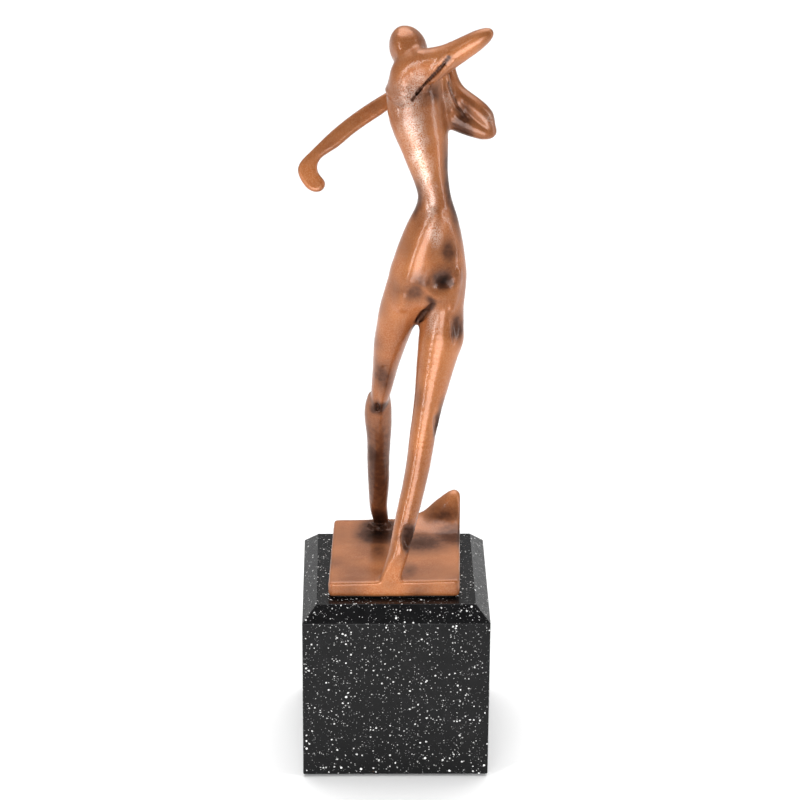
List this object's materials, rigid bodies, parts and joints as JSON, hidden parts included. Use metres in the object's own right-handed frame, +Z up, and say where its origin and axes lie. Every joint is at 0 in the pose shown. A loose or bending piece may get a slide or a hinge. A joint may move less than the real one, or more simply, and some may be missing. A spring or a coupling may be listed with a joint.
{
  "type": "figure trophy",
  "caption": "Slender abstract golfer figure in copper-toned cast metal at the end of a swing, on a cast ground plate bolted to a speckled stone cube.",
  "frame": {"origin": "centre of the flat underside that the trophy rests on", "axes": "+Z up, -Y out of the front of the plinth, +X to the right as seen from the front"},
  "size_m": [0.0629, 0.06, 0.2465],
  "materials": {
    "copper_patina": "satin cast metal with an antique copper patina, dark in the recesses",
    "speckled_stone": "polished black with white speckles",
    "adhesive_foam": "matt black closed-cell foam",
    "zinc_plated_steel": "bright zinc plate",
    "black_felt": "matt black felt"
  },
  "bodies": {
    "root": {"torso": "copper_patina", "head": "copper_patina", "right_arm": "copper_patina", "left_arm": "copper_patina", "clasped_hands": "copper_patina", "golf_club": "copper_patina", "left_leg": "copper_patina", "right_thigh": "copper_patina", "right_shin": "copper_patina", "ground_plate": "copper_patina", "plinth": "speckled_stone", "mounting_pad": "adhesive_foam", "fixing_stud": "zinc_plated_steel", "plain_washer": "zinc_plated_steel", "lock_washer": "zinc_plated_steel", "hex_nut": "zinc_plated_steel", "felt_base": "black_felt"}
  },
  "joints": []
}
